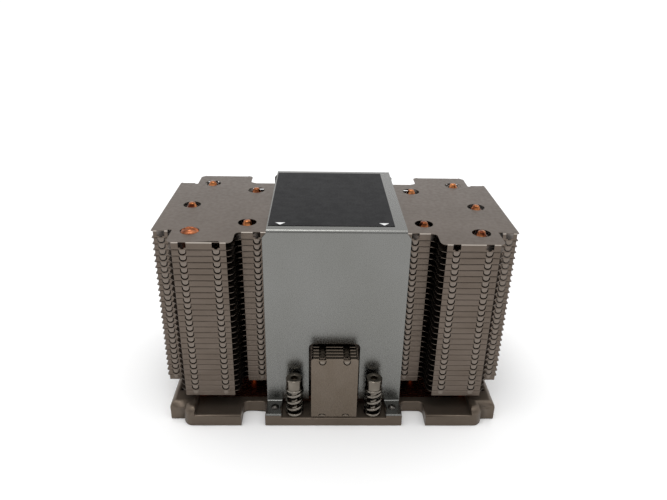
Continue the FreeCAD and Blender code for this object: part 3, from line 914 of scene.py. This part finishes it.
@dataclass
class FrontPack:
    """The upright fins in the cover's window, stacked front to back with locked folds at top and foot.

    The front one also shows the ends of its locks: rounded slots in its plate, with scales that stand out.
    """

    names: Sequence[str]
    half_width: float = 10.4
    pitch: float = 2.35
    sheet: float = 0.2
    corner: float = 0.9
    lock_x: float = 5.4
    lock_width: float = 3.2
    slot_width: float = 3.5
    head_slot: float = 2.3
    heel_slot: float = 1.1
    slot_margin: float = 0.05
    scale_gap: float = 0.42
    scale_proud: float = 0.22
    # Strength of the painted highlight on the front fin's scales
    scale_painted_highlight: float = 0.15

    @staticmethod
    def rounded_slot(x: float, top: float, width: float, length: float) -> Array:
        """Outline of a slot that hangs from a line: a straight head, closed by a half ellipse below it."""
        angle = np.radians(np.linspace(180.0, 360.0, 11))
        return np.column_stack([x + width / 2.0 * np.cos(angle), top + length * np.sin(angle)])

    def lock_ends(self, half: float) -> tuple[list[Array], list[Surface]]:
        """The ends of the locks on the front plate.

        Args:
            half: how far the plate's folds start above and below its middle.

        Returns:
            The outlines of the slots, and their scales: rings that shrink to the middle of the outline and
            rise out of the plate as a flat dome does.
        """
        slots, scales = [], []
        for x in (-self.lock_x, self.lock_x):
            for turn, length in ((1.0, self.head_slot), (-1.0, self.heel_slot)):
                slot = self.rounded_slot(x, half - self.slot_margin, self.slot_width, length)
                slots.append(slot * [1.0, turn])
                width = self.slot_width - 2.0 * self.scale_gap
                inner = self.rounded_slot(x, half, width, length - self.scale_gap) * [1.0, turn]
                middle = inner.mean(axis=0)
                plan = middle + (inner - middle) * SCALE_RINGS
                rise = np.broadcast_to(self.scale_proud * (1.0 - SCALE_RINGS**2), (*plan.shape[:2], 1))
                rings = np.concatenate([plan, rise], axis=-1)[:, :: int(turn)]
                scales.append(Surface.grid(rings, closed=True))
        return slots, scales

    def skin(self, low: float, high: float, front: bool) -> Surface:
        """The outer skin of one upright fin whose plate faces the front at Y = 0.

        Args:
            low: Z of its foot.
            high: Z of its top.
            front: whether it is the front one.

        Returns:
            A plate with rounded corners, and a fold along its top and foot that runs back by the pitch.
        """
        fold = Fold(self.pitch, self.pitch, seam=0.2, bend=0.4, lip=0.9, slit=0.45, lift=0.8)
        end = self.half_width - self.corner
        run = FoldRun(-end, end, (-self.lock_x, self.lock_x), self.lock_width)
        edge = fold.surface(run)
        middle, half = (low + high) / 2.0, (high - low) / 2.0
        rounding = arc((run.stop, half - self.corner), self.corner, 0.0, 90.0, 5)
        upper = np.vstack([rounding, run.line(half - fold.lip)[::-1], rounding[::-1] * [-1.0, 1.0]])
        outline = np.vstack([upper, -upper])
        slots, scales = self.lock_ends(half - fold.lip) if front else ([], [])
        face = Surface.joined([flat_sheet([outline, *slots], 0.0), *scales])
        plate = face.mapped(np.array([[1.0, 0, 0], [0, 0, 1.0], [0, -1.0, 0]]), (0, 0, middle))
        head = edge.mapped(np.array([[1.0, 0, 0], [0, 0, -1.0], [0, -1.0, 0]]), (0.0, self.pitch, high))
        heel = edge.mapped(np.array([[1.0, 0, 0], [0, 0, 1.0], [0, -1.0, 0]]), (0.0, self.pitch, low))
        return Surface.joined([plate, head, heel])

    def build(self) -> None:
        """Makes every upright fin where its node stands, with a painted highlight on the scales of the front
        one.
        """
        for name in self.names:
            low, high = node_box(name)
            skin = self.skin(low[2], high[2], name == self.names[0]).moved(y=low[1])
            piece = make_piece(f"{name}_folded", skin, PACK_NICKEL, replaces=(name,))
            # Paints a highlight on the scales of the front fin
            painted_highlight(piece, lambda points: (points[:, 1] < low[1] - HAIR) * self.scale_painted_highlight)
            thicken(piece, self.sheet)


@dataclass(frozen=True)
class TipShape:
    """The closed end of a riser tube, in copper as the closing left it.

    The power says how the radius falls along the taper: 1 makes a plain cone, more a dome, less a flare. The
    rise is how far the top stands above the node's own, and the slit is the depth of a pinched end's groove.
    """

    finish: MetalFinish
    power: float
    taper: float
    rise: float
    nose_radius: float
    nose: float
    slit: float = 0.0


TIP_SHAPES = {
    TubeTip.DRAWN: TipShape(AGED_COPPER, power=0.5, taper=3.4, rise=0.6, nose_radius=1.6, nose=0.7),
    TubeTip.PINCHED: TipShape(
        TUBE_COPPER, power=2.6, taper=2.1, rise=0.7, nose_radius=2.2, nose=0.4, slit=1.9
    ),
}


@dataclass
class RiserTubes:
    """The copper tubes that carry heat up from the chamber, closed at the top."""

    tips: dict[str, TubeTip]
    diameter: float = 8.0
    segments: int = 40
    slit_width: float = 0.75

    def tube(self, shape: TipShape, low: float, high: float) -> Surface:
        """A tube on the Z axis: a straight wall, a taper that falls with a power of the rise, a round nose.

        Args:
            shape: its closed end; the depth of a pinched one's groove falls off as a bell curve across Y.
            low: Z of its foot.
            high: Z of its top.

        Returns:
            The closed tube.
        """
        radius, shoulder = self.diameter / 2.0, high - shape.taper
        rise = np.linspace(0.0, 1.0, 11)
        swing = np.radians(np.linspace(15.0, 90.0, 5))
        neck = shape.nose_radius + (radius - shape.nose_radius) * (1.0 - rise**shape.power)
        rings = np.concatenate([[0.0, radius], neck, shape.nose_radius * np.cos(swing)])
        slope = shoulder + rise * (shape.taper - shape.nose)
        heights = np.concatenate([[low, low], slope, high + shape.nose * (np.sin(swing) - 1.0)])
        tube = revolved(rings, heights, self.segments)
        near_tip = np.clip((tube.points[:, 2] - shoulder) / shape.taper, 0.0, 1.0)
        groove = shape.slit * near_tip * np.exp(-((tube.points[:, 1] / self.slit_width) ** 2))
        return Surface(tube.points - groove[:, None] * [0.0, 0.0, 1.0], tube.quads)

    def build(self) -> None:
        """Makes every tube where its node stands."""
        for name, tip in self.tips.items():
            shape = TIP_SHAPES[tip]
            low, high = (corner[2] for corner in node_box(name))
            tube = self.tube(shape, low, high + shape.rise).moved(*node_centre(name))
            make_piece(f"{name}_{tip.value}", tube, shape.finish, replaces=(name,), smooth=45.0)


@dataclass
class CaptiveScrews:
    """The four sprung screws that hold the heatsink down, each with its spring."""

    corners: Sequence[str]
    head_radius: float = 3.8
    head_height: float = 5.2
    head_round: float = 0.55
    seat_bevel: float = 0.25
    mouth_radius: float = 2.25
    socket_width: float = 3.0
    socket_flare: float = 1.06
    socket_bevel: float = 0.2
    socket_depth: float = 2.2
    socket_cone: float = 0.35
    shank_radius: float = 2.0
    pin_radius: float = 1.5
    pin_length: float = 2.6
    pin_bevel: float = 0.4
    segments: int = 48
    spring_radius: float = 3.5
    wire: float = 1.3
    wire_sides: int = 10
    turn_steps: int = 28
    turns: float = 5.25
    flat_turns: float = 0.85
    travel: float = 5.0

    def hexagon(self) -> Array:
        """Radius of the socket at each step round the axis: half its width / cos(angle off a flat)."""
        angle = np.linspace(0.0, 360.0, self.segments, endpoint=False)
        return self.socket_width / 2.0 / np.cos(np.radians((angle + 30.0) % 60.0 - 30.0))

    def screw(self, low: float, high: float) -> Surface:
        """A screw on the Z axis: a profile carried round from the tip to the bottom of the hexagon socket.

        Args:
            low: Z of its tip.
            high: Z of its head.

        Returns:
            The closed screw.
        """
        pin, shank, head, bevel = self.pin_radius, self.shank_radius, self.head_radius, self.seat_bevel
        neck, seat, brow = low + self.pin_length, high - self.head_height, high - self.head_round
        swing = np.radians(np.linspace(0.0, 90.0, 6))
        rings = [0.0, pin - self.pin_bevel, pin, pin, shank, shank, head - bevel, head, head]
        heights = [low, low, low + self.pin_bevel, neck, neck, seat, seat, seat + bevel, seat + 2.0 * bevel]
        rings += [*(head - self.head_round * (1.0 - np.cos(swing))), self.mouth_radius]
        heights += [*(brow + self.head_round * np.sin(swing)), high]
        outer = np.array(rings)[:, None] * np.ones(self.segments)
        inner = self.hexagon() * np.array([self.socket_flare, 1.0, 1.0, 0.0])[:, None]
        depth = np.array([self.socket_bevel, 2.0 * self.socket_bevel, self.socket_depth, self.socket_depth])
        depth[-1] += self.socket_cone
        return revolved(np.vstack([outer, inner]), np.concatenate([heights, high - depth]), self.segments)

    def spring(self, low: float, high: float) -> Surface:
        """A wire carried along a coil: x, y on a circle, z rising evenly between flat end turns.

        Args:
            low: Z of the spring's foot.
            high: Z of its top.

        Returns:
            The closed wire, its section a circle in the radial plane.
        """
        steps = int(self.turns * self.turn_steps)
        turn = np.linspace(0.0, self.turns, steps)
        climb = np.clip((turn - self.flat_turns) / (self.turns - 2.0 * self.flat_turns), 0.0, 1.0)
        height = low + self.wire / 2.0 + climb * (high - low - self.wire)
        section = np.linspace(0.0, 2.0 * math.pi, self.wire_sides, endpoint=False)
        thickness = np.full(steps, self.wire / 2.0)
        thickness[[0, -1]] = 0.0
        turn[[0, -1]], height[[0, -1]] = turn[[1, -2]], height[[1, -2]]
        reach = self.spring_radius + thickness[:, None] * np.cos(section)
        angle = 2.0 * math.pi * turn[:, None]
        z = height[:, None] + thickness[:, None] * np.sin(section)
        points = np.stack([reach * np.cos(angle), reach * np.sin(angle), z], axis=-1)
        return Surface.grid(points[:, ::-1], closed=True)

    def build(self) -> None:
        """Makes each screw and its spring, and dresses its ring."""
        for corner in self.corners:
            name, body = f"captive_screw_{corner}", f"screw_{corner}"
            low, high = (edge[2] for edge in node_box(name))
            screw = self.screw(low, high).moved(*node_centre(name))
            make_piece(f"{name}_turned", screw, SCREW_STEEL, body, (name,), smooth=35.0)
            name = f"captive_spring_{corner}"
            low, high = (edge[2] for edge in node_box(name))
            spring = self.spring(low, high).moved(*node_centre(name))
            piece = make_piece(
                f"{name}_wound", spring, SPRING_STEEL, replaces=(name,), smooth=60.0
            )
            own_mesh(piece)
            dress(bpy.data.objects[f"retaining_ring_{corner}"], SCREW_STEEL)


@dataclass
class BridgeCover:
    """The bent satin sheet over the stack, with its label and the screws in its feet."""

    edge: float = 0.16
    edge_steps: int = 2
    foot_screw_x: float = 27.2
    foot_screw_y: float = 44.9
    screw_radius: float = 1.9
    shank_radius: float = 1.0
    brim: float = 0.15
    screw_length: float = 4.0
    screw_head: float = 1.2
    screw_segments: int = 36
    lobe_count: float = 6.0
    lobe_radius: float = 0.85
    lobe_swing: float = 0.16
    dimple_sizes: Triple = (0.55, 0.5, 0.0)
    dimple_depths: Triple = (0.0, 0.6, 0.7)
    foot_top: float = 6.8
    mark_x: Pair = (-23.8, 20.1)
    mark_y: float = -32.3
    mark_width: float = 4.2
    mark_length: float = 2.4
    mark_point: float = 0.001
    mark_height: float = 0.03

    def foot_screw(self) -> Surface:
        """A pan-head screw on the Z axis, its head a quarter ellipse with a lobed dimple.

        Returns:
            The closed screw, with its seat at Z = 0.
        """
        swing = np.radians(np.linspace(8.0, 72.0, 6))
        angle = np.linspace(0.0, 2.0 * math.pi, self.screw_segments, endpoint=False)
        lobes = self.lobe_radius + self.lobe_swing * np.cos(self.lobe_count * angle)
        shank, brim = [0.0, self.shank_radius, self.shank_radius], [self.screw_radius, self.screw_radius]
        rings = np.concatenate([shank, brim, self.screw_radius * np.cos(swing)])
        foot, dome = -self.screw_length, self.screw_head * np.sin(swing)
        heights = np.concatenate(
            [[foot, foot, 0.0, 0.0, self.brim], dome, dome[-1] - np.array(self.dimple_depths)]
        )
        outer = rings[:, None] * np.ones_like(angle)
        dimple = lobes * np.array(self.dimple_sizes)[:, None]
        return revolved(np.vstack([outer, dimple]), heights, self.screw_segments)

    def label_mark(self, x: float, top: float) -> Surface:
        """A flat printed triangle that points to the front: its width shrinks evenly along Y.

        Args:
            x: its middle.
            top: Z of the label.

        Returns:
            The triangle.
        """
        along = np.array([0.0, 1.0])[:, None]
        across = x + np.array([-0.5, 0.5]) * self.mark_width * (1.0 - (1.0 - self.mark_point) * along)
        y = np.broadcast_to(self.mark_y - along * self.mark_length, (2, 2))
        points = np.stack([across, y, np.full((2, 2), top + self.mark_height)], axis=-1)
        return Surface.grid(points[::-1])

    def build(self) -> None:
        """Makes the cover, its label and the screws in its feet."""
        rounded_copy(
            "bridge_cover",
            COVER_SATIN,
            rounding=lambda middle: np.full(len(middle), self.edge),
            segments=self.edge_steps,
        )
        screws = [
            self.foot_screw().moved(x, y, self.foot_top)
            for x in (-self.foot_screw_x, self.foot_screw_x)
            for y in (-self.foot_screw_y, self.foot_screw_y)
        ]
        screws, node = Surface.joined(screws), "cover_foot_screws"
        make_piece(f"{node}_turned", screws, DARK_STEEL, replaces=(node,), smooth=40.0)
        dress(bpy.data.objects["cover_label"], BLACK_FILM)
        top = node_box("cover_label")[1][2]
        marks = Surface.joined([self.label_mark(x, top) for x in self.mark_x])
        thicken(make_piece("label_print", marks, WHITE_INK), self.mark_height)


@dataclass
class BaseFrame:
    """The plated base: a frame with soft edges and the chamber in its window."""

    edge: float = 0.45
    brow: float = 2.6
    brow_start: Triple = (75.0, 45.0, 9.2)
    shoulder: float = 3.4
    shoulder_x: float = 69.05
    step_x: float = 63.6
    step: float = 0.9
    tab_front: Triple = (32.0, 49.7, 5.7)
    tab: float = 1.0
    edge_steps: int = 5
    holes: tuple[Triple, ...] = ((18.1, 45.2, 4.4), (27.2, 44.9, 1.7))

    def rounding(self, middle: Array) -> Array:
        """Size of each eased edge: large on the raised ends, most at their shoulders, none round the holes.

        Args:
            middle: the middles of the edges, in millimetres.

        Returns:
            One size for each edge.
        """
        x, y, z = np.abs(middle).T
        far_x, far_y, high = self.brow_start
        tab_x, tab_y, tab_z = self.tab_front
        size = np.where((x > tab_x) & (x < self.step_x) & (y > tab_y) & (z > tab_z), self.tab, self.edge)
        size = np.where((z > high) & (x < self.step_x), self.step, size)
        size = np.where((z > high) & ((x > far_x) | (y > far_y)) & (x > self.step_x), self.brow, size)
        size = np.where((size == self.brow) & (x < self.shoulder_x), self.shoulder, size)
        for hole_x, hole_y, radius in self.holes:
            size = np.where(np.hypot(x - hole_x, y - hole_y) < radius, 0.0, size)
        return size

    def build(self) -> None:
        """Makes the frame, and dresses the chamber, which keeps its CAD shape."""
        rounded_copy("base_frame", FRAME_NICKEL, self.rounding, self.edge_steps)
        dress(bpy.data.objects["vapor_chamber"], CHAMBER_COPPER)


@dataclass
class Studio:
    """The pale floor, the soft light and the camera."""

    location: Triple = (-7.559, -266.984, 191.975)
    pitch: float = 25.174
    yaw: float = 1.569
    roll: float = 1.122
    focal_pixels: float = 601.248
    clip: Pair = (0.01, 40.0)
    floor_half: float = 12000.0
    sky: float = 1.0
    zenith: float = 0.5
    zenith_z: Pair = (0.6, 0.95)
    front_shade: float = -0.65
    shade_y: Pair = (-0.2, -0.7)
    shade_top_z: Pair = (0.75, 0.35)
    shade_foot_z: Pair = (0.08, 0.25)
    lamp_place: Triple = (-60.0, -80.0, 800.0)
    lamp_aim: Triple = (0.0, 0.0, 45.0)
    lamp_size: float = 240.0
    lamp_power: float = 1.0

    def floor(self) -> None:
        """A level sheet of pale paper under the object."""
        corners = np.array([[-1.0, -1.0], [1.0, -1.0], [1.0, 1.0], [-1.0, 1.0]]) * self.floor_half
        floor = add_object("studio_floor", new_mesh("studio_floor", flat_sheet([corners], 0.0)))
        dress(floor, FLOOR_PAPER)

    def surround(self) -> None:
        """A pale surround, brighter overhead and darker in front, though not near the ground."""
        nodes = NodeTree(bpy.data.worlds.new("studio"), "Background", "Generated")
        y, z = (nodes.add("ShaderNodeSeparateXYZ", axis, {"Vector": nodes.place}) for axis in "YZ")
        shade = nodes.between(y, 0.0, self.front_shade, self.shade_y, smooth=True)
        for band in (self.shade_top_z, self.shade_foot_z):
            shade = nodes.reckoned("MULTIPLY", shade, nodes.between(z, 0.0, 1.0, band, smooth=True))
        overhead = nodes.between(z, 0.0, self.zenith, self.zenith_z, smooth=True)
        strength = nodes.reckoned("ADD", nodes.reckoned("ADD", overhead, shade), self.sky)
        nodes.feed(nodes.shader, {"Color": (1.0, 1.0, 1.0, 1.0), "Strength": strength})
        bpy.context.scene.world = nodes.owner

    def lamp(self) -> None:
        """A soft lamp overhead that looks at the object."""
        data = bpy.data.lights.new("overhead", "AREA")
        data.size = self.lamp_size * METRE
        data.energy = self.lamp_power
        lamp = add_object("overhead", data)
        lamp.location = Vector(self.lamp_place) * METRE
        lamp.rotation_mode = "QUATERNION"
        aim = Vector(self.lamp_aim) - Vector(self.lamp_place)
        lamp.rotation_quaternion = aim.to_track_quat("-Z", "Y")

    def camera(self) -> None:
        """A camera at the photo's angle: looks along +Y, turned by yaw, tipped down by pitch, then rolled."""
        data = bpy.data.cameras.new("photo_view")
        data.sensor_width = SENSOR_WIDTH
        data.lens = self.focal_pixels / PHOTO_WIDTH * SENSOR_WIDTH
        data.clip_start, data.clip_end = self.clip
        camera = add_object("photo_view", data)
        view = Matrix.Translation(Vector(self.location) * METRE)
        for degrees, axis in ((-self.yaw, "Z"), (90.0 - self.pitch, "X"), (self.roll, "Z")):
            view = view @ Matrix.Rotation(math.radians(degrees), 4, axis)
        camera.matrix_world = view
        bpy.context.scene.camera = camera

    def build(self) -> None:
        """Sets the stage, with colours shown as they are."""
        self.floor()
        self.surround()
        self.lamp()
        self.camera()
        bpy.context.scene.view_settings.view_transform = "Standard"


def main() -> None:
    """Builds the heatsink's looks piece by piece, then the studio."""
    logging.basicConfig(level=logging.INFO, format="%(name)s: %(message)s")
    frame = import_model()
    names = sorted(frame["nodes"])
    tubes = {name: TubeTip.DRAWN for name in names if "_tube_" in name}
    tubes["outer_tube_left_front"] = TubeTip.PINCHED
    corners = [name.removeprefix("captive_screw_") for name in names if name.startswith("captive_screw_")]
    FinStack([name for name in names if name.startswith("fin_")]).build(list(tubes))
    FrontPack([name for name in names if name.startswith("front_fin_")]).build()
    RiserTubes(tubes).build()
    CaptiveScrews(corners).build()
    BridgeCover().build()
    BaseFrame().build()
    Studio().build()


if __name__ == "__main__":
    main()
